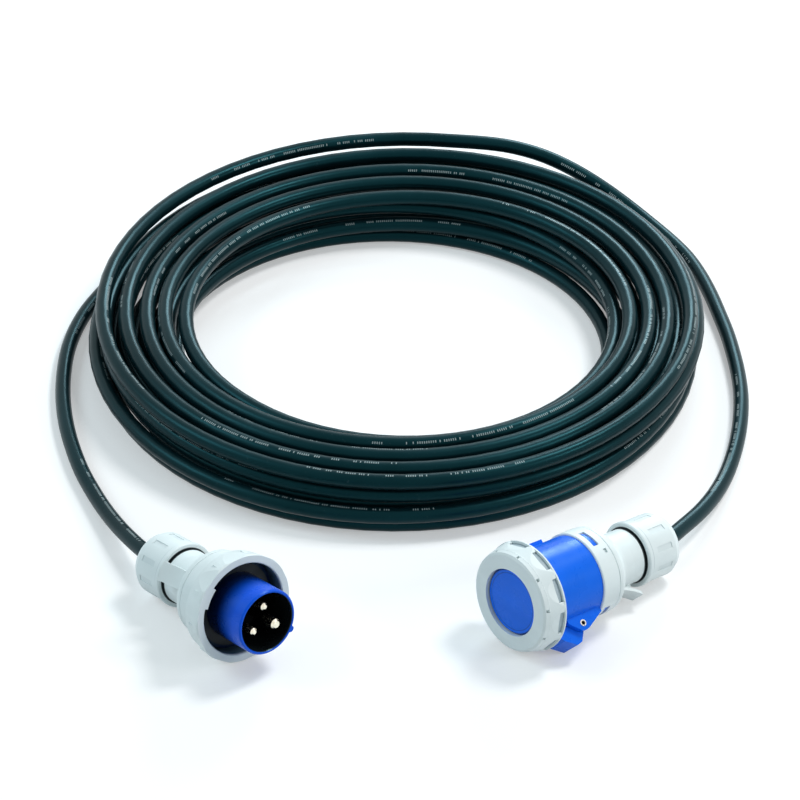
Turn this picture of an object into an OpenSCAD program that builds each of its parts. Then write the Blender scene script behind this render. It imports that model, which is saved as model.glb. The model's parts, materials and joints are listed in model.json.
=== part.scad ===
// Coiled shore power cord: a 16 A three-pole plug, a rubber cable wound in a
// loose round coil, and the matching connector with its sprung lid.
// Row frame: +Z up, floor at z = 0, the plug points along +X and the connector
// along -Y. Each end is drawn along its own axis: z = 0 is the gland's back
// face, +Z runs towards the nose and +X towards the key. Millimetres.

/* [Cable] */
// Outside diameter of the cable
cable_d = 11; // [9:0.5:11]
// Diameter of one insulated core
core_d = 3.8; // [3:0.2:4]

/* [Coil] */
// Largest mean radius of the loops, at the cable's centre line
coil_outer_r = 225; // [222:1:235]
// Smallest mean radius of the loops, at the cable's centre line
coil_inner_r = 150; // [140:1:152]
// Turns in one layer
coil_layer_turns = 4.6; // [4.3:0.1:4.6]
// Turns in the whole coil
coil_turns = 18.2; // [17.2:0.1:18.2]
// Clear height between two layers
coil_layer_gap = 0.7; // [0.6:0.1:2]
// How far the loops bunch towards the front
coil_bunch = 8; // [0:0.5:8]
// How oval the loops are
coil_oval = 3; // [0:0.5:4]
// How far the loops wander in and out at the back
coil_wander = 2.5; // [0:0.5:2.5]

/* [Gland] */
// Radius of the gland nut
nut_r = 21.5; // [20.5:0.5:22]
// Length of the gland nut
nut_len = 29.4; // [28:0.2:29.4]
// Shallow grip pads round the nut
nut_pads = 10; // [6:1:12]

/* [Housings] */
// Outside radius of the neck behind the gland nut
neck_r = 18.4; // [18:0.2:19]
// Outside radius of the rear housing's flange
flange_r = 29.4; // [29:0.1:29.5]
// Width of the release wing
wing_w = 13; // [10:1:15]

/* [Contacts] */
// Radius of the circle that the three contacts stand on
contact_circle_r = 10; // [9.6:0.1:10.4]
// Diameter of the line and neutral pins
pin_d = 5; // [5:0.1:5]
// Diameter of the earth pin
earth_pin_d = 7; // [7:0.1:7]
// Radial clearance of a contact sleeve round its pin
contact_clear = 0.05; // [0.02:0.01:0.1]

/* [Plug] */
// Outside radius of the plug's shroud
shroud_r = 22; // [21.8:0.1:22.1]
// Distance from the gland's back face to the shroud's rim
plug_len = 118; // [116:1:120]
// Radius of the plug's bayonet ring at its mouth
plug_ring_r = 37; // [36.5:0.5:38]
// Direction of the key, turned from straight up
plug_roll = -128; // [-140:1:-110]

/* [Connector] */
// Outside radius of the connector's barrel
barrel_r = 28; // [27.8:0.1:28.1]
// Inside radius of the connector's barrel
barrel_bore_r = 22.6; // [22.5:0.1:22.8]
// Direction of the keyway, turned from straight up
connector_roll = 50; // [45:1:55]
// Radius of the lid's bayonet ring at its back rim
lid_ring_r = 36.9; // [36.5:0.1:37.2]
// Flats round each bayonet ring
ring_flats = 10; // [8:1:12]

/* [Hidden] */

fine = 96;
medium = 48;
white = [0.86, 0.87, 0.88];
blue = [0.05, 0.16, 0.62];
black = [0.05, 0.05, 0.06];
nickel = [0.80, 0.74, 0.62];
steel = [0.62, 0.63, 0.65];
rubber = [0.07, 0.09, 0.10];

cable_r = cable_d / 2;
pin_r = pin_d / 2;
earth_pin_r = earth_pin_d / 2;
core_r = core_d / 2;

// Stations along an end's axis
nut_edge_s = 4.5;          // where the nut reaches its full radius
nut_wall_s = 4;            // inside face of the nut's back wall
clamp_front_s = 9;
seal_front_s = 24;
sheath_end_s = 40;         // the sheath is stripped from here on
terminal_s = 57;           // back of the terminals
screw_s = 61.5;
seal_s = [64.2, 66];       // seal between the rear housing and the front body
carrier_back_s = 58;

// Ring and lid stations
plug_ring_s = [76.1, 93];
plug_ring_back_r = 34.4;
plug_ring_bore_r = 31.2;
plug_flange_s = [79.15, 81.3];
plug_carrier_face_s = 84.5;
pin_tip_s = plug_len - 2.2;
housing_front_s = 75.7;    // front of the plug's rear housing
barrel_s = [78, 124];      // shoulder and rim of the connector's barrel
lid_s = [126, 129.6];      // back and front of the lid's disc
lid_ring_s = [118, 134];
hinge_s = 97;
hinge_r = 31;              // distance of the hinge pin from the axis
knuckle_half = 8.4;
lid_flat_deg = 23;         // where an edge between two of the lid ring's flats lies
cheek_half = [8.8, 12.4];
hinge_pin_r = 2.25;

// How each end lies on the floor: its nut and its ring touch it
plug_tilt = atan((plug_ring_back_r - nut_r) / (plug_ring_s[0] + 0.9 - nut_edge_s));
connector_tilt = atan((lid_ring_r - nut_r) / (lid_ring_s[0] + 0.6 - nut_edge_s));
plug_at = [-116, -115.5, nut_r * cos(plug_tilt) - nut_edge_s * sin(plug_tilt)];
connector_at = [81.5, 149.9, nut_r * cos(connector_tilt) - nut_edge_s * sin(connector_tilt)];
plug_axis = [cos(plug_tilt), 0, sin(plug_tilt)];
connector_axis = [0, -cos(connector_tilt), sin(connector_tilt)];

// Coil: it starts low and outside, clockwise seen from above
coil_at = [-222, 177];
coil_start_deg = 205;
coil_back_deg = 140;       // direction of the coil's back, where the loops spread
coil_steps = 24;           // rings of the tube in one turn
coil_sides = 6;
tail_sides = 8;
wander_per_turn = 0.29;
layer_shift = [[-2, -2], [3, -3], [-3, 3], [3, 3]];

// Points that the cable follows from the plug to the coil
plug_tail_route = [
    [-128, -115.5, 18.2], [-151, -112, 14], [-175, -107, 10], [-199, -101, 7.2], [-223, -94, 5.8],
    [-246, -86.5, 5.5], [-269, -77, 5.5], [-292, -66, 5.5], [-314, -53.5, 5.5], [-335, -39.5, 5.5],
    [-355, -24, 5.5], [-374, -7, 5.5], [-391, 12, 5.5], [-405.5, 32.5, 5.5], [-417, 54, 5.5]
];
// Points that the cable follows from the coil's top layer, down behind the coil, to the connector
connector_tail_route = [
    [-352, 376, 40.5], [-334, 391, 39], [-314, 404.5, 35], [-292, 415.5, 28.5], [-269, 424, 20.5],
    [-245, 429, 13], [-220, 430, 8], [-195, 427.5, 6], [-170, 421.5, 5.5], [-146, 411.5, 5.5],
    [-123, 399.5, 5.5], [-101, 386.5, 5.5], [-79, 373, 5.5], [-58, 358.5, 5.5], [-38, 343.5, 5.5],
    [-18.5, 327, 5.5], [-0.5, 309, 5.5], [16, 290, 5.5], [31.5, 269.5, 5.8], [45.5, 248, 6.6],
    [57.5, 225.5, 8.6], [67.5, 202, 11.8], [75.5, 177.5, 15.6], [80.5, 161, 18.4]
];

// Frames of the two ends
module at_plug() {
    translate(plug_at) rotate([0, 90 - plug_tilt, 0]) rotate(180 + plug_roll) children();
}

module at_connector() {
    translate(connector_at) rotate([90 - connector_tilt, 0, 0]) rotate(90 + connector_roll) children();
}

// A profile of [radius, station] points turned about the axis
module turned(points) {
    rotate_extrude($fn = fine) polygon(points);
}

// A block bent round the axis, between two radii and two stations, centred on an angle
module arc_block(r, s, width_deg, at_deg = 0) {
    rotate(at_deg - width_deg / 2)
        rotate_extrude(angle = width_deg, $fn = fine)
            translate([r[0], s[0]]) square([r[1] - r[0], s[1] - s[0]]);
}

// A plate in the plane through the axis, drawn as [radius, station], on the side opposite the key
module side_plate(width, offset = 0) {
    rotate(180) translate([0, width / 2 + offset, 0])
        rotate([90, 0, 0]) linear_extrude(width) children();
}

// Tube swept along points, with square ends
function unit(v) = v / norm(v);
function tube_dir(p, i, first, last) =
    i == 0 ? first
    : i == len(p) - 1 ? last
    : unit(unit(p[i] - p[i - 1]) + unit(p[i + 1] - p[i]));
function tube_ring(p, dir, r, sides, upward) =
    let (side = unit(cross(dir, upward)), up = cross(side, dir))
    [for (k = [0:sides - 1]) let (a = 90 + k * 360 / sides) p + r * (cos(a) * side + sin(a) * up)];

module tube(p, r, sides, first, last, upward = [0, 0, 1]) {
    n = len(p);
    rings = [for (i = [0:n - 1]) each tube_ring(p[i], tube_dir(p, i, first, last), r, sides, upward)];
    walls = [for (i = [0:n - 2], k = [0:sides - 1])
        let (a = i * sides + k, b = i * sides + (k + 1) % sides)
        each [[a, b, b + sides], [a, b + sides, a + sides]]];
    back = [for (k = [1:sides - 2]) [0, k + 1, k]];
    front = [for (k = [1:sides - 2]) [0, k, k + 1] + (n - 1) * sides * [1, 1, 1]];
    polyhedron(rings, concat(walls, back, front));
}

// Coil: the loops spiral in and out again at a steady rate, one layer on the next
function smooth(x) = let (t = max(0, min(1, x))) t * t * (3 - 2 * t);
// +1 where a turn is outermost, -1 where it is innermost
function in_and_out(turn) =
    let (t = turn / coil_layer_turns, k = floor(t))
    k % 2 == 0 ? 1 - 2 * (t - k) : 2 * (t - k) - 1;
// Each layer is climbed in the half turn where the spiral reverses
function climb(turn, layer) = smooth((turn - coil_layer_turns * layer + 0.25) / 0.5);
function layer_centre(turn) = layer_shift[0]
    + climb(turn, 1) * (layer_shift[1] - layer_shift[0])
    + climb(turn, 2) * (layer_shift[2] - layer_shift[1])
    + climb(turn, 3) * (layer_shift[3] - layer_shift[2]);
function coil_point(turn) =
    let (
        angle = coil_start_deg - 360 * turn,
        from_back = angle - coil_back_deg,
        way = in_and_out(turn),
        wander = coil_wander * (1 + cos(from_back)) / 2 * sin(360 * wander_per_turn * turn),
        r = (coil_outer_r + coil_inner_r) / 2 + way * (coil_outer_r - coil_inner_r) / 2
            + way * (coil_bunch * cos(from_back) + coil_oval * cos(2 * from_back)) + wander,
        c = coil_at + layer_centre(turn),
        layer = climb(turn, 1) + climb(turn, 2) + climb(turn, 3)
    )
    [c[0] + r * cos(angle), c[1] + r * sin(angle), cable_r + layer * (cable_d + coil_layer_gap)];

coil_in_dir = unit(coil_point(0.002) - coil_point(0));
coil_out_dir = unit(coil_point(coil_turns) - coil_point(coil_turns - 0.002));
coil_in = coil_point(0) - cable_d * coil_in_dir;
coil_out = coil_point(coil_turns) + cable_d * coil_out_dir;

function route_length(p) = len(p) < 2 ? 0 : norm(p[1] - p[0])
    + route_length([for (i = [1:len(p) - 1]) p[i]]);

// Gland parts, alike on both ends
module gland_nut() {
    difference() {
        turned([
            [cable_r + 0.8, 0], [nut_r - 2.3, 0], [nut_r, nut_edge_s], [nut_r, nut_len - 4],
            [nut_r + 0.8, nut_len - 3.2], [nut_r + 0.8, nut_len - 0.8], [nut_r + 0.2, nut_len],
            [17, nut_len], [17, 7], [13, nut_wall_s], [cable_r + 0.8, nut_wall_s]
        ]);
        for (i = [0:nut_pads - 1])
            rotate(i * 360 / nut_pads) translate([nut_r - 0.5, -2, 8]) cube([2, 4, 13]);
    }
}

module gland_clamp() {
    difference() {
        turned([
            [cable_r, nut_wall_s], [13, nut_wall_s], [15.6, 6.6], [14.9, clamp_front_s],
            [cable_r, clamp_front_s]
        ]);
        for (i = [0:7]) rotate(i * 45) translate([7, -0.5, nut_wall_s - 1]) cube([10, 1, 4]);
    }
}

module gland_seal() {
    turned([
        [cable_r, clamp_front_s], [14.9, clamp_front_s], [14.9, seal_front_s], [cable_r, seal_front_s]
    ]);
}

module cable_end() {
    cylinder(h = sheath_end_s, r = cable_r, $fn = medium);
}

// One core: out of the sheath, spread to its terminal
module core(at_deg) {
    spread = [[2.5, sheath_end_s], [2.5, 43], [contact_circle_r, 53], [contact_circle_r, terminal_s + 7]];
    rotate(at_deg) {
        for (i = [0:2]) let (a = spread[i], b = spread[i + 1])
            translate([a[0], 0, a[1]]) rotate([0, atan2(b[0] - a[0], b[1] - a[1]), 0])
                cylinder(h = norm(b - a), r = core_r, $fn = medium);
        for (i = [1:2]) translate([spread[i][0], 0, spread[i][1]]) sphere(r = core_r, $fn = medium);
    }
}

module terminal_screws() {
    for (i = [0:2]) rotate(i * 120) translate([contact_circle_r + core_r, 0, screw_s])
        rotate([0, 90, 0]) difference() {
            cylinder(h = 7, r = 2, $fn = medium);
            translate([-3, -0.4, 6.2]) cube([6, 0.8, 2]);
        }
}

// White rear housing: threaded neck, flared shoulder, flange and release wing
function flare(u) = [neck_r + 0.8 + (flange_r - 1 - neck_r) * (1 - cos(180 * u)) / 2, 48 + 13.5 * u];

module housing_shell(front_s) {
    turned(concat(
        [[14.9, clamp_front_s], [16.4, clamp_front_s], [17, 9.6], [17, nut_len + 0.9], [neck_r, nut_len + 0.9], [neck_r, 40]],
        [for (i = [0:8]) flare(i / 8)],
        [[flange_r - 0.2, 63.2], [flange_r - 0.7, 63.4], [flange_r - 0.7, 63.9], [flange_r, 64.1],
            [flange_r, front_s - 0.6], [flange_r - 0.6, front_s], [26, front_s],
            [26, seal_s[0]], [24.6, seal_s[0]], [24.6, 57.5]],
        [for (i = [4:-1:1]) flare(i / 8) - [2.6, 0]],
        [[15.6, 46], [15.6, 36], [cable_r + 0.9, 28], [cable_r + 0.9, seal_front_s], [14.9, seal_front_s]]
    ));
}

module release_wing() {
    wing = [for (s = [51:-1.4:37]) [20 + 8.5 * pow((58 - s) / 21, 2), s]];
    back = [for (i = [10:-1:0]) wing[i] - [2.4, 0]];
    side_plate(wing_w) polygon(concat(wing, back));
    side_plate(2.4) polygon([[17, 38], [24.4, 41.4], [20, 50], [17, 50]]);
}

module rear_housing(front_s, windows) {
    difference() {
        union() {
            housing_shell(front_s);
            release_wing();
        }
        if (windows) for (i = [0:2]) {
            arc_block([25, 32], [69.2, 73.8], 30, 66 + 120 * i);
            arc_block([28, 32], [66.6, 69], 6, 40 + 120 * i);
        }
    }
}

// Plug
module plug_front() {
    difference() {
        union() {
            turned([
                [19.7, seal_s[1]], [26, seal_s[1]], [26, plug_flange_s[0]],
                [30.7, plug_flange_s[0]], [30.7, plug_flange_s[1]], [shroud_r, plug_flange_s[1]],
                [shroud_r, plug_len - 1], [shroud_r - 0.8, plug_len], [20.3, plug_len], [19.7, plug_len - 0.8]
            ]);
            // Key, along the shroud
            translate([shroud_r - 0.6, 0, 90]) {
                translate([0, -2.3, 0]) cube([0.8, 4.6, plug_len - 90.8]);
                translate([0.4, 0, 0]) cylinder(h = plug_len - 90.8, r = 2.3, $fn = medium);
            }
        }
        cylinder(h = 130, r = 19.7, $fn = fine);
    }
}

module carrier_holes(front_s, hole_r, earth_hole_r) {
    for (i = [0:2]) rotate(i * 120) {
        translate([contact_circle_r, 0, carrier_back_s - 1])
            cylinder(h = front_s - carrier_back_s + 2, r = i == 0 ? earth_hole_r : hole_r, $fn = medium);
        translate([contact_circle_r, 0, screw_s]) rotate([0, 90, 0]) cylinder(h = 14, r = 2, $fn = medium);
    }
}

module pin_carrier() {
    difference() {
        translate([0, 0, carrier_back_s])
            cylinder(h = plug_carrier_face_s - carrier_back_s, r = 19.7, $fn = fine);
        carrier_holes(plug_carrier_face_s, 4.2, 5.2);
    }
}

// A contact pin: a terminal barrel at the back and a round-ended pin in front
module pin(r, barrel, at_deg) {
    rotate(at_deg) translate([contact_circle_r, 0, 0]) difference() {
        union() {
            translate([0, 0, terminal_s])
                cylinder(h = plug_carrier_face_s - terminal_s, r = barrel, $fn = medium);
            translate([0, 0, plug_carrier_face_s])
                cylinder(h = pin_tip_s - 1.2 - plug_carrier_face_s, r = r, $fn = medium);
            rotate_extrude($fn = medium)
                polygon([[0, pin_tip_s - 1.2], [r, pin_tip_s - 1.2], [r - 1.2, pin_tip_s], [0, pin_tip_s]]);
        }
        translate([0, 0, terminal_s - 1]) cylinder(h = 8, r = core_r, $fn = medium);
        translate([0, 0, screw_s]) rotate([0, 90, 0]) cylinder(h = 8, r = 2, $fn = medium);
    }
}

// Flats round a bayonet ring, cut between two stations at their distances from the axis
module flat_cuts(s, reach) {
    slope = atan2(reach[1] - reach[0], s[1] - s[0]);
    for (i = [0:ring_flats - 1])
        rotate((i + 0.5) * 360 / ring_flats) translate([reach[0], 0, s[0]]) rotate([0, slope, 0])
            translate([0, -16, 0]) cube([12, 32, s[1] - s[0] + 12]);
}

module plug_ring() {
    s = plug_ring_s;
    difference() {
        turned([
            [26.6, s[0]], [plug_ring_back_r - 1, s[0]], [plug_ring_back_r, s[0] + 0.9],
            [plug_ring_r, s[1] - 1.4], [plug_ring_r - 0.7, s[1]], [plug_ring_bore_r + 0.6, s[1]],
            [plug_ring_bore_r, s[1] - 0.6], [plug_ring_bore_r, s[0] + 2.7], [26.6, s[0] + 2.7]
        ]);
        flat_cuts(s, [plug_ring_back_r + 0.1, plug_ring_r - 0.9]);
    }
    // Grip rib on each edge between two flats
    for (i = [0:ring_flats - 1]) rotate(i * 360 / ring_flats)
        translate([plug_ring_r - 3.8, -1.6, s[0] + 6.4]) cube([3, 3.2, 7]);
    for (a = [0, 180]) arc_block([28.7, plug_ring_bore_r + 0.4], [s[1] - 4.6, s[1] - 0.8], 27, a);
}

// Connector
module barrel_lugs() {
    for (a = [130, 310]) arc_block([barrel_r - 0.5, 31], [120.8, 123.4], 22, a);
}

module hinge_cheek_outline() {
    polygon([[24, barrel_s[0] + 1], [28.4, barrel_s[0] + 1], [hinge_r + 4.4, hinge_s - 3],
        [hinge_r + 4.4, hinge_s + 3], [28, 108], [24, 108]]);
    translate([hinge_r, hinge_s]) circle(r = 4.9, $fn = medium);
}

module connector_front() {
    mid = (cheek_half[0] + cheek_half[1]) / 2;
    difference() {
        union() {
            turned([
                [barrel_bore_r, seal_s[1]], [26, seal_s[1]], [26, barrel_s[0]], [barrel_r, barrel_s[0]],
                [barrel_r, barrel_s[1] - 0.8], [barrel_r - 0.8, barrel_s[1]], [barrel_bore_r + 0.5, barrel_s[1]],
                [barrel_bore_r, barrel_s[1] - 0.5]
            ]);
            // Twist lugs that show in the rear housing's windows
            for (i = [0:2]) arc_block([25.8, 28.4], [69.8, 73.2], 27, 66 + 120 * i);
            barrel_lugs();
            // Raised rib over the keyway
            translate([barrel_r - 2, -4.6, 92]) cube([4, 9.2, 25.2]);
            for (side = [-1, 1]) side_plate(cheek_half[1] - cheek_half[0], side * mid) hinge_cheek_outline();
        }
        // Keyway
        translate([barrel_bore_r - 2, -2.7, 84]) cube([5, 5.4, 50]);
        cylinder(h = 140, r = barrel_bore_r, $fn = fine);
        // Pocket for the lid's knuckle, and the hinge pin's hole
        side_plate(2 * cheek_half[0]) translate([hinge_r, hinge_s]) circle(r = 5.1, $fn = medium);
        side_plate(40) translate([hinge_r, hinge_s]) circle(r = hinge_pin_r, $fn = medium);
    }
}

module socket_carrier() {
    difference() {
        turned([
            [0, carrier_back_s], [19.7, carrier_back_s], [19.7, seal_s[1]], [barrel_bore_r, seal_s[1]],
            [barrel_bore_r, 84], [19.3, 84], [19.3, 121.7], [18.5, 122.5], [0, 122.5]
        ]);
        carrier_holes(118.5, 4.2, 5.2);
        for (i = [0:2]) rotate(i * 120) translate([contact_circle_r, 0, 110])
            cylinder(h = 20, r = i == 0 ? earth_pin_r + 0.5 : pin_r + 0.5, $fn = medium);
    }
}

// A contact sleeve: a bored front for the pin and a terminal barrel behind
module sleeve(bore_r, barrel, at_deg) {
    rotate(at_deg) translate([contact_circle_r, 0, 0]) difference() {
        translate([0, 0, terminal_s]) cylinder(h = 119.5 - terminal_s, r = barrel, $fn = medium);
        translate([0, 0, 88]) cylinder(h = 40, r = bore_r, $fn = medium);
        translate([0, 0, terminal_s - 1]) cylinder(h = 8, r = core_r, $fn = medium);
        translate([0, 0, screw_s]) rotate([0, 90, 0]) cylinder(h = 8, r = 2, $fn = medium);
    }
}

module roll_pin() {
    side_plate(2 * cheek_half[1] + 0.6) translate([hinge_r, hinge_s]) difference() {
        circle(r = hinge_pin_r, $fn = medium);
        circle(r = 1.35, $fn = medium);
        translate([0, -0.25]) square([4, 0.5]);
    }
}

// Torsion spring round the hinge pin, with one leg on the barrel
module torsion_spring() {
    wire_r = 0.45;
    coil_r = 2.85;
    turns = 4;
    path = [for (i = [0:turns * 12]) let (a = 30 * i)
        [-hinge_r + coil_r * cos(a), -2.3 + 4.6 * i / (turns * 12), hinge_s - coil_r * sin(a)]];
    leg = [-barrel_r - 0.75, -2.3, hinge_s + 6];
    tube(concat([leg], path), wire_r, 6, [0, 0, -1], [0, 0, -1], [0, 1, 0]);
}

module lid_arm_outline() {
    polygon([[28.8, 117.4], [32.4, 117.4], [37, 113.5], [42.5, 105.5], [41.5, 101], [hinge_r + 4.5, hinge_s - 0.8],
        [hinge_r, hinge_s], [28.8, hinge_s + 5]]);
    translate([hinge_r, hinge_s]) circle(r = 4.6, $fn = medium);
}

module lid_shape() {
    difference() {
        union() {
            turned([
                [0, lid_s[0]], [33.5, lid_s[0]], [33.5, lid_s[1]], [22.2, lid_s[1]], [22.2, 131],
                [21.4, 131.8], [0, 131.8]
            ]);
            arc_block([28.8, 32.4], [117, lid_s[0] + 1], 32, 180);
            side_plate(2 * knuckle_half) lid_arm_outline();
        }
        side_plate(40) translate([hinge_r, hinge_s]) circle(r = hinge_pin_r + 0.07, $fn = medium);
        // Slot for the torsion spring
        side_plate(6.4) translate([hinge_r, hinge_s]) circle(r = 4.7, $fn = medium);
        side_plate(6.4) translate([24, hinge_s - 5]) square([hinge_r - 24, 12.5]);
    }
}

module lid_ring() {
    s = lid_ring_s;
    rotate(lid_flat_deg) difference() {
        turned([
            [22.7, s[1] - 3.8], [34.2, s[1] - 3.8], [34.2, s[0]], [lid_ring_r - 0.6, s[0]],
            [lid_ring_r, s[0] + 0.6], [lid_ring_r, s[0] + 2], [33.3, s[1] - 1], [31.8, s[1]], [22.7, s[1]]
        ]);
        flat_cuts([s[0] + 1.6, s[1]], [lid_ring_r - 1.5, lid_ring_r - 2.9]);
        for (i = [0:ring_flats - 1]) rotate(i * 360 / ring_flats) {
            // Long recess behind each flat, and a small notch between two flats
            arc_block([34.9, 40], [s[0] + 1.6, s[0] + 5], 25, 180 / ring_flats);
            translate([32, -1, s[1] - 3.4]) cube([4, 2, 2]);
        }
    }
    for (a = [90, 270]) arc_block([28.8, 34.5], [s[0] + 0.3, s[0] + 2.4], 20, a);
}

// Nodes
module plug_rear_housing() { color(white) at_plug() rear_housing(housing_front_s, false); }
module plug_gland_nut() { color(white) at_plug() gland_nut(); }
module plug_gland_clamp() { color(white) at_plug() gland_clamp(); }
module plug_gland_seal() { color(black) at_plug() gland_seal(); }
module plug_cable_end() { color(rubber) at_plug() cable_end(); }
module plug_line_core() { color("saddlebrown") at_plug() core(120); }
module plug_neutral_core() { color("royalblue") at_plug() core(240); }
module plug_earth_core() { color("yellowgreen") at_plug() core(0); }
module plug_terminal_screws() { color(steel) at_plug() terminal_screws(); }
module plug_pin_carrier() { color(black) at_plug() pin_carrier(); }
module line_pin() { color(nickel) at_plug() pin(pin_r, 4.2, 120); }
module neutral_pin() { color(nickel) at_plug() pin(pin_r, 4.2, 240); }
module earth_pin() { color(nickel) at_plug() pin(earth_pin_r, 5.2, 0); }
module plug_shroud() { color(blue) at_plug() plug_front(); }
module plug_housing_seal() {
    color(black) at_plug() turned([[22.6, seal_s[0]], [26, seal_s[0]], [26, seal_s[1]], [22.6, seal_s[1]]]);
}
module plug_face_gasket() {
    color(black) at_plug() turned([[shroud_r, plug_flange_s[1]], [28, plug_flange_s[1]],
        [28, plug_flange_s[1] + 1.8], [shroud_r, plug_flange_s[1] + 1.8]]);
}
module plug_bayonet_ring() { color(white) at_plug() plug_ring(); }

module connector_rear_housing() { color(white) at_connector() rear_housing(barrel_s[0], true); }
module connector_gland_nut() { color(white) at_connector() gland_nut(); }
module connector_gland_clamp() { color(white) at_connector() gland_clamp(); }
module connector_gland_seal() { color(black) at_connector() gland_seal(); }
module connector_cable_end() { color(rubber) at_connector() cable_end(); }
module connector_line_core() { color("saddlebrown") at_connector() core(120); }
module connector_neutral_core() { color("royalblue") at_connector() core(240); }
module connector_earth_core() { color("yellowgreen") at_connector() core(0); }
module connector_terminal_screws() { color(steel) at_connector() terminal_screws(); }
module contact_carrier() { color(black) at_connector() socket_carrier(); }
module line_contact() { color(nickel) at_connector() sleeve(pin_r + contact_clear, 4.2, 120); }
module neutral_contact() { color(nickel) at_connector() sleeve(pin_r + contact_clear, 4.2, 240); }
module earth_contact() { color(nickel) at_connector() sleeve(earth_pin_r + contact_clear, 5.2, 0); }
module connector_body() { color(blue) at_connector() connector_front(); }
module connector_housing_seal() {
    color(black) at_connector() turned([[22.6, seal_s[0]], [26, seal_s[0]], [26, seal_s[1]], [22.6, seal_s[1]]]);
}
module hinge_pin() { color(steel) at_connector() roll_pin(); }
module lid_spring() { color(steel) at_connector() torsion_spring(); }
module lid() { color(blue) at_connector() lid_shape(); }
module lid_gasket() {
    color(black) at_connector() turned([[21.6, barrel_s[1] + 0.3], [28.4, barrel_s[1] + 0.3],
        [28.4, lid_s[0]], [21.6, lid_s[0]]]);
}
module lid_bayonet_ring() { color(white) at_connector() lid_ring(); }
module lid_ring_clip() {
    color(steel) at_connector() turned([[33, 124.4], [34.2, 124.4], [34.2, 125.4], [33, 125.4]]);
}

module plug_tail() {
    color(rubber) tube(concat([plug_at], plug_tail_route, [coil_in]), cable_r, tail_sides, -plug_axis, coil_in_dir);
}
module connector_tail() {
    color(rubber) tube(concat([coil_out], connector_tail_route, [connector_at]), cable_r, tail_sides,
        coil_out_dir, connector_axis);
}
module cable_coil() {
    steps = round(coil_turns * coil_steps);
    loops = [for (i = [0:steps]) coil_point(i / coil_steps)];
    gaps = [for (i = [0:steps - coil_steps / 2], j = [i + coil_steps / 2:steps]) norm(loops[i] - loops[j])];
    echo(least_gap = min(gaps) - cable_d, coil_length = route_length(loops));
    echo(tail_lengths = [route_length(concat([plug_at], plug_tail_route, [coil_in])),
        route_length(concat([coil_out], connector_tail_route, [connector_at]))]);
    color(rubber) tube(concat([coil_in], loops, [coil_out]), cable_r, coil_sides, coil_in_dir, coil_out_dir);
}

plug_rear_housing();
plug_gland_nut();
plug_gland_clamp();
plug_gland_seal();
plug_cable_end();
plug_line_core();
plug_neutral_core();
plug_earth_core();
plug_terminal_screws();
plug_pin_carrier();
line_pin();
neutral_pin();
earth_pin();
plug_shroud();
plug_housing_seal();
plug_face_gasket();
plug_bayonet_ring();
connector_rear_housing();
connector_gland_nut();
connector_gland_clamp();
connector_gland_seal();
connector_cable_end();
connector_line_core();
connector_neutral_core();
connector_earth_core();
connector_terminal_screws();
contact_carrier();
line_contact();
neutral_contact();
earth_contact();
connector_body();
connector_housing_seal();
hinge_pin();
lid_spring();
lid();
lid_gasket();
lid_bayonet_ring();
lid_ring_clip();
plug_tail();
cable_coil();
connector_tail();
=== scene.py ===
import json
import math

import bpy
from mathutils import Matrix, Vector


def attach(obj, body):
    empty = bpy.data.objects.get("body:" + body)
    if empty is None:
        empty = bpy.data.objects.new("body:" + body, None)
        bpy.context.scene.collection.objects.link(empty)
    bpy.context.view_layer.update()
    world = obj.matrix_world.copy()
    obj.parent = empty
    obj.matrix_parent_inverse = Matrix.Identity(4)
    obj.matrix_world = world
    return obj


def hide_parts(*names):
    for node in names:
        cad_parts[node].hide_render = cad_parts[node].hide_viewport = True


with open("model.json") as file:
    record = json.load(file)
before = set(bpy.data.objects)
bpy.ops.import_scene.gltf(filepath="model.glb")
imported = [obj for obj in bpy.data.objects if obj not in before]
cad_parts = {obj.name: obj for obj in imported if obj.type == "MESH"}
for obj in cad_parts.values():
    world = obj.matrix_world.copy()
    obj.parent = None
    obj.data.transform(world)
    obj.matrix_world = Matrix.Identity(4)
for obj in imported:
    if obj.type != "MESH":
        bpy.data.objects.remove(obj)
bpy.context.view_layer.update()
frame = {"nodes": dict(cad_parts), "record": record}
MM = 0.001


def link_object(name, data):
    obj = bpy.data.objects.new(name, data)
    bpy.context.collection.objects.link(obj)
    return obj


def aim(obj, target):
    """Turn a camera or lamp so that it looks at the target."""
    obj.rotation_mode = "QUATERNION"
    obj.rotation_quaternion = (target - obj.location).to_track_quat("-Z", "Y")


# ---------------------------------------------------------------- camera, fitted to both ends and the coil
CAMERA_AT = Vector((1279.9, -1079.8, 1361.9))
CAMERA_TARGET = Vector((-175.0, 140.9, 0))
LENS, SENSOR = 147.2, 36


def make_camera():
    data = bpy.data.cameras.new("camera")
    data.lens = LENS
    data.sensor_width = SENSOR
    data.clip_start = 0.05
    data.clip_end = 20
    camera = link_object("camera", data)
    camera.location = CAMERA_AT * MM
    aim(camera, CAMERA_TARGET * MM)
    bpy.context.scene.camera = camera


# ---------------------------------------------------------------- cable route in mm, as in the CAD source
CABLE_R = 5.5
CABLE_SIDES = 16
PLUG_AT = Vector((-116, -115.5, 20.379))
CONNECTOR_AT = Vector((81.5, 149.9, 20.705))
PLUG_TILT = math.radians(10.089)
CONNECTOR_TILT = math.radians(7.687)
PLUG_AXIS = Vector((math.cos(PLUG_TILT), 0, math.sin(PLUG_TILT)))
CONNECTOR_AXIS = Vector((0, -math.cos(CONNECTOR_TILT), math.sin(CONNECTOR_TILT)))

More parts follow.
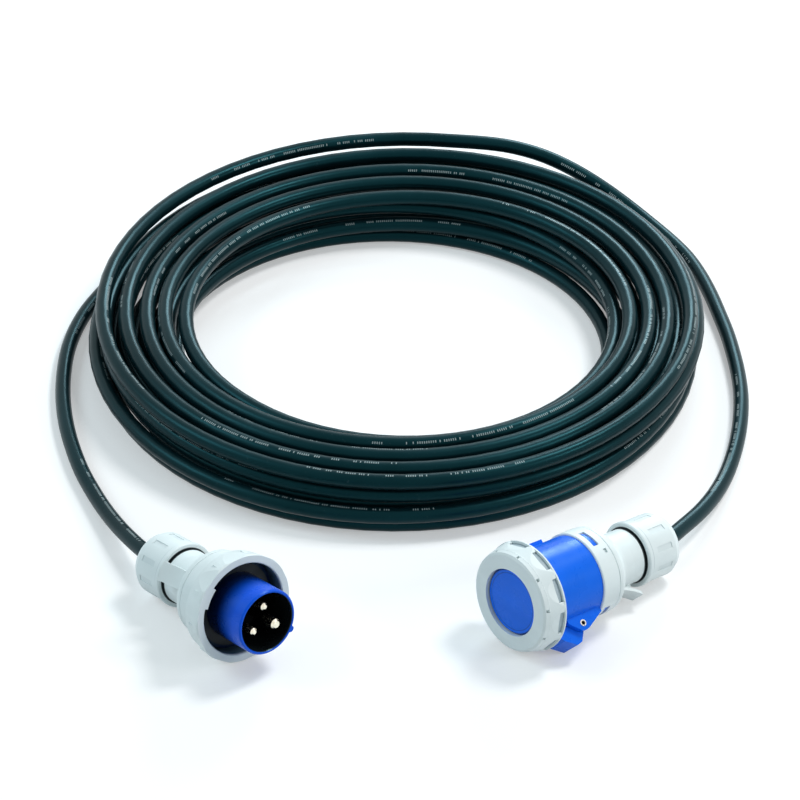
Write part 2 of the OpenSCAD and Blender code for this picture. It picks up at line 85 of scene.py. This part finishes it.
PLUG_TAIL = [
    (-128, -115.5, 18.2), (-151, -112, 14), (-175, -107, 10), (-199, -101, 7.2), (-223, -94, 5.8),
    (-246, -86.5, 5.5), (-269, -77, 5.5), (-292, -66, 5.5), (-314, -53.5, 5.5), (-335, -39.5, 5.5),
    (-355, -24, 5.5), (-374, -7, 5.5), (-391, 12, 5.5), (-405.5, 32.5, 5.5), (-417, 54, 5.5)]
CONNECTOR_TAIL = [
    (-352, 376, 40.5), (-334, 391, 39), (-314, 404.5, 35), (-292, 415.5, 28.5), (-269, 424, 20.5),
    (-245, 429, 13), (-220, 430, 8), (-195, 427.5, 6), (-170, 421.5, 5.5), (-146, 411.5, 5.5),
    (-123, 399.5, 5.5), (-101, 386.5, 5.5), (-79, 373, 5.5), (-58, 358.5, 5.5), (-38, 343.5, 5.5),
    (-18.5, 327, 5.5), (-0.5, 309, 5.5), (16, 290, 5.5), (31.5, 269.5, 5.8), (45.5, 248, 6.6),
    (57.5, 225.5, 8.6), (67.5, 202, 11.8), (75.5, 177.5, 15.6), (80.5, 161, 18.4)]
TAIL_STEP = 8    # length between two rings of the tube
LEAD = 11        # straight lead of each tail into the coil

# The loops: layers that run in and out between two radii, bunched at the front and a little oval
OUTER_R, INNER_R, LAYER_TURNS, TURNS = 225, 150, 4.6, 18.2
BUNCH, OVAL, WANDER, WANDER_RATE = 8, 3, 2.5, 0.29
COIL_AT, START_DEG, BACK_DEG = (-222, 177), 205, 140
LAYER_RISE, CLIMB_TURNS = 11.7, 0.5
LAYER_SHIFT = [(-2, -2), (3, -3), (-3, 3), (3, 3)]
RINGS_PER_TURN = 72
NUDGE = 0.002    # part of a turn over which the coil's direction is taken at its ends


def smooth(x):
    t = max(0.0, min(1.0, x))
    return t * t * (3 - 2 * t)


def climb(turn, layer):
    """0 below the layer and 1 on it."""
    return smooth((turn - LAYER_TURNS * layer + CLIMB_TURNS / 2) / CLIMB_TURNS)


def coil_point(turn):
    """Centre of the cable after so many turns of the coil."""
    angle = math.radians(START_DEG - 360 * turn)
    from_back = angle - math.radians(BACK_DEG)
    layer = math.floor(turn / LAYER_TURNS)
    done = turn / LAYER_TURNS - layer
    way = 1 - 2 * done if layer % 2 == 0 else 2 * done - 1
    wander = WANDER * (1 + math.cos(from_back)) / 2 * math.sin(math.radians(360 * WANDER_RATE * turn))
    r = (OUTER_R + INNER_R) / 2 + way * (OUTER_R - INNER_R) / 2
    r += way * (BUNCH * math.cos(from_back) + OVAL * math.cos(2 * from_back)) + wander
    climbs = [climb(turn, i) for i in (1, 2, 3)]
    x, y = (COIL_AT[i] + LAYER_SHIFT[0][i] + sum(
        climbs[j] * (LAYER_SHIFT[j + 1][i] - LAYER_SHIFT[j][i]) for j in range(3)) for i in (0, 1))
    return Vector((x + r * math.cos(angle), y + r * math.sin(angle), CABLE_R + sum(climbs) * LAYER_RISE))


def smooth_route(points):
    """Catmull-Rom curve through the points, a ring about every TAIL_STEP."""
    p = [points[0] * 2 - points[1]] + points + [points[-1] * 2 - points[-2]]
    out = []
    for i in range(1, len(p) - 2):
        a, b, c, d = p[i - 1:i + 3]
        n = max(1, round((c - b).length / TAIL_STEP))
        for j in range(n):
            t = j / n
            out.append(0.5 * (2 * b + (c - a) * t + (2 * a - 5 * b + 4 * c - d) * t * t
                              + (3 * b - a - 3 * c + d) * t ** 3))
    return out + [points[-1]]


def cable_route():
    coil = [coil_point(i / RINGS_PER_TURN) for i in range(round(TURNS * RINGS_PER_TURN) + 1)]
    lead_in = coil[0] - (coil_point(NUDGE) - coil_point(0)).normalized() * LEAD
    lead_out = coil[-1] + (coil_point(TURNS) - coil_point(TURNS - NUDGE)).normalized() * LEAD
    first = smooth_route([PLUG_AT] + [Vector(p) for p in PLUG_TAIL] + [lead_in, coil[0]])
    last = smooth_route([coil[-1], lead_out] + [Vector(p) for p in CONNECTOR_TAIL] + [CONNECTOR_AT])
    return first[:-1] + coil + last[1:]


def sweep(name, route, radius, sides, first_dir, last_dir):
    """Tube along the route, with its station and the way that each point faces kept for the material."""
    n = len(route)
    tangent = [first_dir] + [(route[i + 1] - route[i - 1]).normalized() for i in range(1, n - 1)] + [last_dir]
    along = [0.0]
    for i in range(1, n):
        along.append(along[-1] + (route[i] - route[i - 1]).length)
    verts, faces = [], []
    attributes = {"along": [], "upward": [], "sideways": []}
    for i in range(n):
        side = tangent[i].cross(Vector((0, 0, 1))).normalized()
        up = side.cross(tangent[i])
        for k in range(sides):
            a = 2 * math.pi * k / sides
            verts.append((route[i] + radius * (math.cos(a) * side + math.sin(a) * up)) * MM)
            attributes["along"].append(along[i])
            attributes["upward"].append(math.sin(a))
            attributes["sideways"].append(math.cos(a))
    for i in range(n - 1):
        for k in range(sides):
            a, b = i * sides + k, i * sides + (k + 1) % sides
            faces.append((a, b, b + sides, a + sides))
    faces.append(tuple(range(sides - 1, -1, -1)))
    faces.append(tuple((n - 1) * sides + k for k in range(sides)))
    mesh = bpy.data.meshes.new(name)
    mesh.from_pydata(verts, [], faces)
    for key, values in attributes.items():
        mesh.attributes.new(key, "FLOAT", "POINT").data.foreach_set("value", values)
    mesh.polygons.foreach_set("use_smooth", [True] * (len(faces) - 2) + [False] * 2)
    mesh.validate()
    return link_object(name, mesh), along[-1]


# ---------------------------------------------------------------- node trees
class Tree:
    """Short calls for the nodes that this scene's materials and world use."""

    def __init__(self, tree):
        self.tree = tree

    def node(self, kind, **settings):
        n = self.tree.nodes.new("ShaderNode" + kind)
        for key, value in settings.items():
            setattr(n, key, value)
        return n

    def feed(self, socket, value):
        """Give a socket a number, a vector, an RGB colour or another node's output."""
        if isinstance(value, bpy.types.NodeSocket):
            self.tree.links.new(value, socket)
        else:
            socket.default_value = (*value, 1) if socket.type == "RGBA" else value

    def math(self, operation, *values):
        n = self.node("Math", operation=operation)
        for socket, value in zip(n.inputs, values):
            self.feed(socket, value)
        return n.outputs[0]

    def product(self, first, *others):
        for value in others:
            first = self.math("MULTIPLY", first, value)
        return first

    def vector(self, operation, *values):
        n = self.node("VectorMath", operation=operation)
        for socket, value in zip(n.inputs, values):
            self.feed(socket, value)
        return n.outputs["Value" if operation in ("DOT_PRODUCT", "LENGTH") else "Vector"]

    def remap(self, value, low, high, to_low, to_high):
        n = self.node("MapRange")
        for key, number in (("Value", value), ("From Min", low), ("From Max", high),
                            ("To Min", to_low), ("To Max", to_high)):
            self.feed(n.inputs[key], number)
        return n.outputs["Result"]

    def below(self, value, high, edge=0.15):
        """1 below a limit, 0 above it."""
        return self.remap(value, high - edge, high + edge, 1, 0)

    def within(self, value, low, high, edge=0.15):
        """1 between low and high, 0 outside."""
        return self.product(self.remap(value, low - edge, low + edge, 0, 1), self.below(value, high, edge))

    def mix(self, factor, a, b):
        n = self.node("Mix", data_type="RGBA")
        for key, value in (("Factor", factor), ("A", a), ("B", b)):
            self.feed(n.inputs[key], value)
        return n.outputs["Result"]

    def seen_directly(self):
        """1 for rays from the camera, a reflection or glass, which should see a white surround."""
        path = self.node("LightPath")
        seen = path.outputs["Is Camera Ray"]
        for name in ("Is Glossy Ray", "Is Transmission Ray"):
            seen = self.math("MAXIMUM", seen, path.outputs[name])
        return seen


class Shader(Tree):
    """A Principled material."""

    def __init__(self, name, color, roughness, metallic=0.0, specular=0.5, tint=(1, 1, 1)):
        self.mat = bpy.data.materials.new(name)
        self.mat.use_nodes = True
        super().__init__(self.mat.node_tree)
        self.bsdf = self.tree.nodes["Principled BSDF"]
        self.set("Base Color", color)
        self.set("Roughness", roughness)
        self.set("Metallic", metallic)
        self.set("Specular IOR Level", specular)
        self.set("Specular Tint", tint)
        self.coords = self.node("TexCoord").outputs["Object"]

    def set(self, key, value):
        self.feed(self.bsdf.inputs[key], value)

    def attribute(self, name):
        return self.node("Attribute", attribute_name=name).outputs["Fac"]

    def noise(self, scale, detail=3.0, stretch=None):
        n = self.node("TexNoise")
        n.inputs["Scale"].default_value = scale
        n.inputs["Detail"].default_value = detail
        source = self.coords
        if stretch:
            mapping = self.node("Mapping")
            mapping.inputs["Scale"].default_value = stretch
            self.feed(mapping.inputs["Vector"], source)
            source = mapping.outputs["Vector"]
        self.feed(n.inputs["Vector"], source)
        return n.outputs["Fac"]

    def axial(self, end):
        """Station along an end's axis and distance from it, in millimetres."""
        at, axis = end
        off = self.vector("SUBTRACT", self.coords, tuple(at * MM))
        station = self.vector("DOT_PRODUCT", off, tuple(axis))
        radius = self.vector("LENGTH", self.vector("CROSS_PRODUCT", off, tuple(axis)))
        return self.product(station, 1 / MM), self.product(radius, 1 / MM)

    def painted(self, base, paint):
        """The base colour under the (factor, colour) pairs that paint(shader) gives for one piece."""
        for factor, color in paint(self) if paint else ():
            base = self.mix(factor, base, color)
        return base

    def bump(self, height, strength, distance):
        n = self.node("Bump")
        n.inputs["Strength"].default_value = strength
        n.inputs["Distance"].default_value = distance
        self.feed(n.inputs["Height"], height)
        self.set("Normal", n.outputs["Normal"])


# ---------------------------------------------------------------- colours
BLUE = (0.0035, 0.133, 0.80)
# Painted shade: a darker copy of BLUE for the plug's shroud, which lies in shade
SHADED_BLUE = (0.002, 0.085, 0.68)
# Painted shade on the shroud's base, where it enters the ring
BLUE_PAINTED_SHADE = (0.0005, 0.004, 0.02)
WHITE = (0.76, 0.82, 0.82)
BLACK = (0.0035, 0.0050, 0.0060)
# Painted shade for the plug ring's bore
SLATE_BORE_SHADE = (0.13, 0.23, 0.30)
# Painted shade for the gaps at the gland nuts' mouths
GAP_SHADE = (0.012, 0.018, 0.020)
GROOVE_SHADE = (0.26, 0.33, 0.35)
PAD_SHADE = (0.36, 0.43, 0.45)
POCKET_SHADE = (0.24, 0.32, 0.37)
# Painted shade for the pins' shafts
PIN_PAINTED_SHADE = (0.004, 0.004, 0.003)
SHEATH, SHEATH_WORN, SHEATH_DUST = (0.0014, 0.0088, 0.0112), (0.0028, 0.0165, 0.0205), (0.020, 0.036, 0.041)
TICK_INK = (0.50, 0.58, 0.58)


def shade(color, factor):
    return tuple(min(1.0, c * factor) for c in color)


# ---------------------------------------------------------------- base materials
def plastic(name, color, roughness, variation=0.06, grain=1800, specular=0.5, tint=(1, 1, 1), paint=None):
    """Moulded plastic: faint flow marks in the colour, a fine spark-eroded grain, uneven gloss."""
    s = Shader(name, color, roughness, specular=specular, tint=tint)
    flow = s.remap(s.noise(28, 4, (1, 1, 2.2)), 0.3, 0.7, 0, 1)
    base = s.mix(flow, shade(color, 1 - variation), shade(color, 1 + variation * 0.6))
    s.set("Base Color", s.painted(base, paint))
    s.set("Roughness", s.remap(s.noise(110), 0.3, 0.7, roughness - 0.05, roughness + 0.08))
    s.bump(s.noise(grain, 2), 0.35, 0.00004)
    return s.mat


def white_plastic(name, paint=None):
    return plastic(name, WHITE, 0.42, specular=0.4, paint=paint)


def blue_plastic(name, color=BLUE, paint=None):
    return plastic(name, color, 0.28, variation=0.10, specular=0.22, tint=(0.5, 0.9, 1.0), paint=paint)


def metal(name, color, roughness, depth=0.00003, paint=None):
    """Drawn or turned metal: fine streaks in gloss and colour."""
    s = Shader(name, color, roughness, metallic=1.0)
    streaks = s.noise(700, 4)
    base = s.mix(s.remap(streaks, 0.35, 0.65, 0, 1), shade(color, 0.82), shade(color, 1.08))
    s.set("Base Color", s.painted(base, paint))
    s.set("Roughness", s.remap(streaks, 0.3, 0.7, roughness - 0.07, roughness + 0.1))
    s.bump(streaks, 0.2, depth)
    return s.mat


# The cable's line of pale ticks, in mm along it and radians round it
TICK = 1.5                                 # a tick and the gap after it
TICK_CELLS = ((1.5, 0.82), (7.5, 0.80))    # length of a cell, and the share that keeps its ticks
STRETCH = 300                              # the first half of each stretch has ticks
WINDING = 420                              # the line's angle is the sine of the station over this
LINE_HALF_ANGLE = 0.15
TICK_STRENGTH = 0.55


def cable_rubber():
    """Rubber sheath: satin, a little dusty, with a line of plain pale ticks."""
    s = Shader("cable_rubber", SHEATH, 0.32, specular=0.20, tint=(0.15, 0.85, 1.0))
    dust = s.noise(16, 5)
    base = s.mix(s.remap(dust, 0.35, 0.75, 0, 1), SHEATH, SHEATH_WORN)
    base = s.mix(s.remap(s.noise(420), 0.66, 0.76, 0, 0.5), base, SHEATH_DUST)

    along = s.attribute("along")

    def first_half(period):
        return s.math("LESS_THAN", s.math("FRACT", s.product(along, 1 / period)), 0.5)

    def by_chance(cell, share):
        random = s.node("TexWhiteNoise", noise_dimensions="1D")
        s.feed(random.inputs["W"], s.math("FLOOR", s.product(along, 1 / cell)))
        return s.math("LESS_THAN", random.outputs["Value"], share)

    turn = s.math("ARCTAN2", s.attribute("sideways"), s.attribute("upward"))
    line = s.math("SINE", s.product(along, 1 / WINDING))
    on_line = s.math("LESS_THAN", s.math("ABSOLUTE", s.math("SUBTRACT", turn, line)), LINE_HALF_ANGLE)
    ticks = s.product(first_half(TICK), *(by_chance(*cell) for cell in TICK_CELLS), first_half(STRETCH),
                      on_line, TICK_STRENGTH)

    s.set("Base Color", s.mix(ticks, base, TICK_INK))
    s.set("Roughness", s.remap(dust, 0.3, 0.7, 0.26, 0.38))
    s.bump(s.noise(900), 0.25, 0.00006)
    return s.mat


# ---------------------------------------------------------------- painted shade and highlights of single pieces
# Stations along an end's axis from the gland's back face, and distances from the axis, in mm
PLUG, CONNECTOR = (PLUG_AT, PLUG_AXIS), (CONNECTOR_AT, CONNECTOR_AXIS)
SHROUD_BORE_R, SHROUD_BORE, SHROUD_BASE_SHADE = 20.6, (60, 117.7), (93, 110)
PIN_SHADE = (103, 112)
RING_BORE_R, RING_MOUTH, RING_SHADE = 31.6, (90.0, 91.6), (83, 89)
DISC_FRONT, DISC_RIM_HIGHLIGHT = (130.5, 140), (19.9, 21.0)
DISC_GROOVE_SHADES = (((19.2, 19.7), 0.35), ((21.3, 23), 0.3))
NECK_GAP, NECK_GAP_R = (25, 31.4), 18.9
NUT_GROOVE = (25.1, 26.0)
NUT_PADS, NUT_PAD_R = (7.5, 21.5), (21.1, 21.35)
NUT_MOUTH, NUT_MOUTH_R = (28.9, 40), 19.5
POCKETS, POCKET_R = (119.4, 123.2), 35.2


def shroud_paint(s):
    """Painted shade: the shroud's bore painted black, and a darkening that deepens towards the face gasket.
    """
    station, radius = s.axial(PLUG)
    bore = s.product(s.below(radius, SHROUD_BORE_R), s.within(station, *SHROUD_BORE))
    # Painted shade: the base darkens towards the gasket and the bore is painted black
    return (s.remap(station, *SHROUD_BASE_SHADE, 0.97, 0), BLUE_PAINTED_SHADE), (bore, BLACK)


def pin_paint(s):
    """Painted shade that deepens down the pins' shafts."""
    station, _ = s.axial(PLUG)
    # Painted shade darkening the shafts deeper into the shroud
    return (s.remap(station, *PIN_SHADE, 0.96, 0), PIN_PAINTED_SHADE),


def plug_ring_paint(s):
    """Painted shade in the ring's bore: slate at the mouth and darker towards the gasket."""
    station, radius = s.axial(PLUG)
    bore = s.product(s.below(radius, RING_BORE_R), s.remap(station, *RING_MOUTH, 1, 0))
    # Painted shade: slate in the bore, deepening towards the gasket
    return (bore, SLATE_BORE_SHADE), (s.product(bore, s.remap(station, *RING_SHADE, 1, 0)), shade(SLATE_BORE_SHADE, 0.3))


def lid_paint(s):
    """A narrow painted highlight on a rim between two grooves of painted shade, round the lid's bare disc."""
    station, radius = s.axial(CONNECTOR)
    front = s.within(station, *DISC_FRONT)
    rim = s.product(front, s.within(radius, *DISC_RIM_HIGHLIGHT, edge=0.35), 0.35)
    # Painted highlight on the rim, and painted shade in the two grooves beside it
    return (rim, shade(BLUE, 1.25)), *(
        (s.product(front, s.within(radius, *groove, edge=0.2), 0.8), shade(BLUE, dark))
        for groove, dark in DISC_GROOVE_SHADES)


def neck_paint(end):
    """Painted shade in the gap where the gland nut's mouth clears the neck."""
    def paint(s):
        station, radius = s.axial(end)
        # Painted shade: a dark band on the neck at the nut's mouth
        return (s.product(s.within(station, *NECK_GAP), s.below(radius, NECK_GAP_R)), GAP_SHADE),
    return paint


def nut_paint(end):
    """Painted shade in the groove behind the nut's collar, in its grip pads, and inside its mouth."""
    def paint(s):
        station, radius = s.axial(end)
        groove = s.product(s.within(station, *NUT_GROOVE, edge=0.2), 0.55)
        pads = s.product(s.within(station, *NUT_PADS), s.remap(radius, *NUT_PAD_R, 0.14, 0))
        mouth = s.product(s.within(station, *NUT_MOUTH), s.below(radius, NUT_MOUTH_R))
        # Painted shade: groove line, pad edges and the inside of the mouth
        return (groove, GROOVE_SHADE), (pads, PAD_SHADE), (mouth, GAP_SHADE)
    return paint


def lid_ring_paint(s):
    """Shade in the recesses round the lid's ring."""
    station, radius = s.axial(CONNECTOR)
    return (s.product(s.within(station, *POCKETS), s.below(radius, POCKET_R), 0.75), POCKET_SHADE),


def make_materials(cable):
    """One material for each slot of the record, and one of its own for each painted piece."""
    by_slot = {
        "cable_rubber": cable_rubber(),
        "housing_grey": white_plastic("housing_grey"),
        "housing_blue": blue_plastic("housing_blue"),
        "insert_black": plastic("insert_black", BLACK, 0.62, grain=900, specular=0.2),
        "seal_rubber": plastic("seal_rubber", (0.006, 0.010, 0.014), 0.55, specular=0.3),
        "contact_metal": metal("contact_metal", (0.86, 0.79, 0.64), 0.24),
        "steel": metal("steel", (0.62, 0.60, 0.57), 0.28),
        "core_brown": plastic("core_brown", (0.16, 0.06, 0.02), 0.4),
        "core_blue": plastic("core_blue", (0.03, 0.14, 0.5), 0.4),
        "core_green_yellow": plastic("core_green_yellow", (0.30, 0.55, 0.04), 0.4),
    }
    pin = metal("pin_metal", (0.90, 0.84, 0.69), 0.24, depth=0.00001, paint=pin_paint)
    own = {
        "line_pin": pin, "neutral_pin": pin, "earth_pin": pin,
        # Painted shade: the shroud takes the darker copy of the blue
        "plug_shroud": blue_plastic("shroud_blue", SHADED_BLUE, shroud_paint),
        "plug_bayonet_ring": white_plastic("plug_ring_grey", plug_ring_paint),
        "lid_bayonet_ring": white_plastic("lid_ring_grey", lid_ring_paint),
        "plug_gland_nut": white_plastic("plug_nut_grey", nut_paint(PLUG)),
        "connector_gland_nut": white_plastic("connector_nut_grey", nut_paint(CONNECTOR)),
        "lid": blue_plastic("lid_blue", paint=lid_paint),
        "plug_rear_housing": white_plastic("plug_housing_grey", neck_paint(PLUG)),
        "connector_rear_housing": white_plastic("connector_housing_grey", neck_paint(CONNECTOR)),
    }
    cable.data.materials.append(by_slot["cable_rubber"])
    slots = {part["node"]: part["material_slot"] for part in frame["record"]["subparts"]}
    for name, obj in frame["nodes"].items():
        obj.data.materials.clear()
        obj.data.materials.append(own.get(name, by_slot[slots[name]]))


# ---------------------------------------------------------------- stage and light
FLOOR_HALF, FLOOR_Z = 30, -0.0002                     # metres, as all places of this section
FLOOR_GREY = (0.72, 0.72, 0.72)
GLOW_RISE, GLOW_NEAR, GLOW_FAR = (1.2, 3.5), 0.34, 1.0  # distances between which the floor's glow grows
SKY, SKY_LEVEL = (0.78, 0.94, 1.0), 0.38
LAMPS_AIM = Vector((-0.15, 0.1, 0))
NEUTRAL, COOL = (1, 1, 1), (0.74, 0.92, 1.0)
LAMPS = (   # name, place, size across, power, colour
    ("key", (0.2, 1.3, 2.2), 0.7, 30.5, NEUTRAL),
    ("rim", (-1.2, 1.7, 1.1), 0.8, 21, COOL),
    ("side", (1.7, 1.0, 1.1), 0.6, 10.5, NEUTRAL),
    ("fill", (-1.4, -1.3, 1.7), 1.2, 18, COOL))


def floor_material():
    """Diffuse floor that keeps the shadow, lifted to white where it is looked at, and more so far off."""
    mat = bpy.data.materials.new("floor")
    mat.use_nodes = True
    mat.node_tree.nodes.clear()
    t = Tree(mat.node_tree)
    diffuse, glow, both = t.node("BsdfDiffuse"), t.node("Emission"), t.node("AddShader")
    t.feed(diffuse.inputs["Color"], FLOOR_GREY)
    away = t.vector("LENGTH", t.node("NewGeometry").outputs["Position"])
    t.feed(glow.inputs["Color"], (1, 1, 1))
    lift = t.remap(away, *GLOW_RISE, GLOW_NEAR, GLOW_FAR)
    t.feed(glow.inputs["Strength"], t.product(t.seen_directly(), lift))
    t.feed(both.inputs[0], diffuse.outputs[0])
    t.feed(both.inputs[1], glow.outputs[0])
    t.feed(t.node("OutputMaterial").inputs["Surface"], both.outputs[0])
    return mat


def make_floor():
    s = FLOOR_HALF
    mesh = bpy.data.meshes.new("floor")
    mesh.from_pydata([(-s, -s, 0), (s, -s, 0), (s, s, 0), (-s, s, 0)], [], [(0, 1, 2, 3)])
    mesh.materials.append(floor_material())
    floor = link_object("floor", mesh)
    floor.location.z = FLOOR_Z


def make_world():
    """A pale sky for the object's light, and plain white where the surround itself is seen."""
    world = bpy.data.worlds.new("studio")
    bpy.context.scene.world = world
    world.use_nodes = True
    t = Tree(world.node_tree)
    sky, white, mix = world.node_tree.nodes["Background"], t.node("Background"), t.node("MixShader")
    t.feed(sky.inputs["Color"], SKY)
    t.feed(sky.inputs["Strength"], SKY_LEVEL)
    t.feed(white.inputs["Color"], (1, 1, 1))
    t.feed(mix.inputs[0], t.seen_directly())
    t.feed(mix.inputs[1], sky.outputs[0])
    t.feed(mix.inputs[2], white.outputs[0])
    t.feed(world.node_tree.nodes["World Output"].inputs["Surface"], mix.outputs[0])


def make_lamps():
    for name, at, size, power, color in LAMPS:
        data = bpy.data.lights.new(name, "AREA")
        data.color = color
        data.shape = "DISK"
        data.size = size
        data.energy = power
        light = link_object(name, data)
        light.location = at
        aim(light, LAMPS_AIM)


# ---------------------------------------------------------------- scene
make_camera()

route = cable_route()
cable, cable_mm = sweep("cable", route, CABLE_R, CABLE_SIDES, -PLUG_AXIS, CONNECTOR_AXIS)
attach(cable, "cord")
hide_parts("plug_tail", "cable_coil", "connector_tail")

make_materials(cable)
make_floor()
make_world()
make_lamps()
bpy.context.scene.view_settings.view_transform = "Standard"
